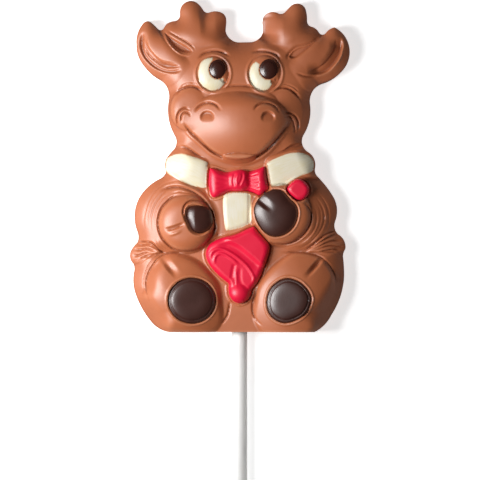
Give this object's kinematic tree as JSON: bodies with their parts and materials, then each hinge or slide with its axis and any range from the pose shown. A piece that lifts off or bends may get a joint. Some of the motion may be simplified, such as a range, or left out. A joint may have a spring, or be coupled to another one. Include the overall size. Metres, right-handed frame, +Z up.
{
  "type": "chocolate lollipop",
  "caption": "Moulded milk chocolate reindeer lollipop with white, dark and red chocolate details, lying face up on its flat back, on a white paper stick.",
  "frame": {"origin": "middle of the bounding box, on the surface that the flat back rests on", "axes": "+X across the figure to the viewer's right, +Y along the stick from its free end towards the antlers, +Z up out of the moulded face"},
  "size_m": [0.0616, 0.1928, 0.0143],
  "materials": {
    "milk_chocolate": "satin milk chocolate, as it leaves a polished mould",
    "white_chocolate": "satin white chocolate, brushed into the mould",
    "dark_chocolate": "glossy dark chocolate",
    "red_chocolate": "semi-gloss red-coloured white chocolate",
    "stick_paper": "tightly rolled white paper, smooth and matt"
  },
  "bodies": {
    "root": {"reindeer": "milk_chocolate", "stick": "stick_paper", "eye_white_left": "white_chocolate", "eye_white_right": "white_chocolate", "pupil_left": "dark_chocolate", "pupil_right": "dark_chocolate", "collar_left": "white_chocolate", "collar_right": "white_chocolate", "placket": "white_chocolate", "bow_tie": "red_chocolate", "hat": "red_chocolate", "red_button": "red_chocolate", "paw_pad_left": "dark_chocolate", "paw_pad_right": "dark_chocolate", "sole_left": "dark_chocolate", "sole_right": "dark_chocolate"}
  },
  "joints": []
}
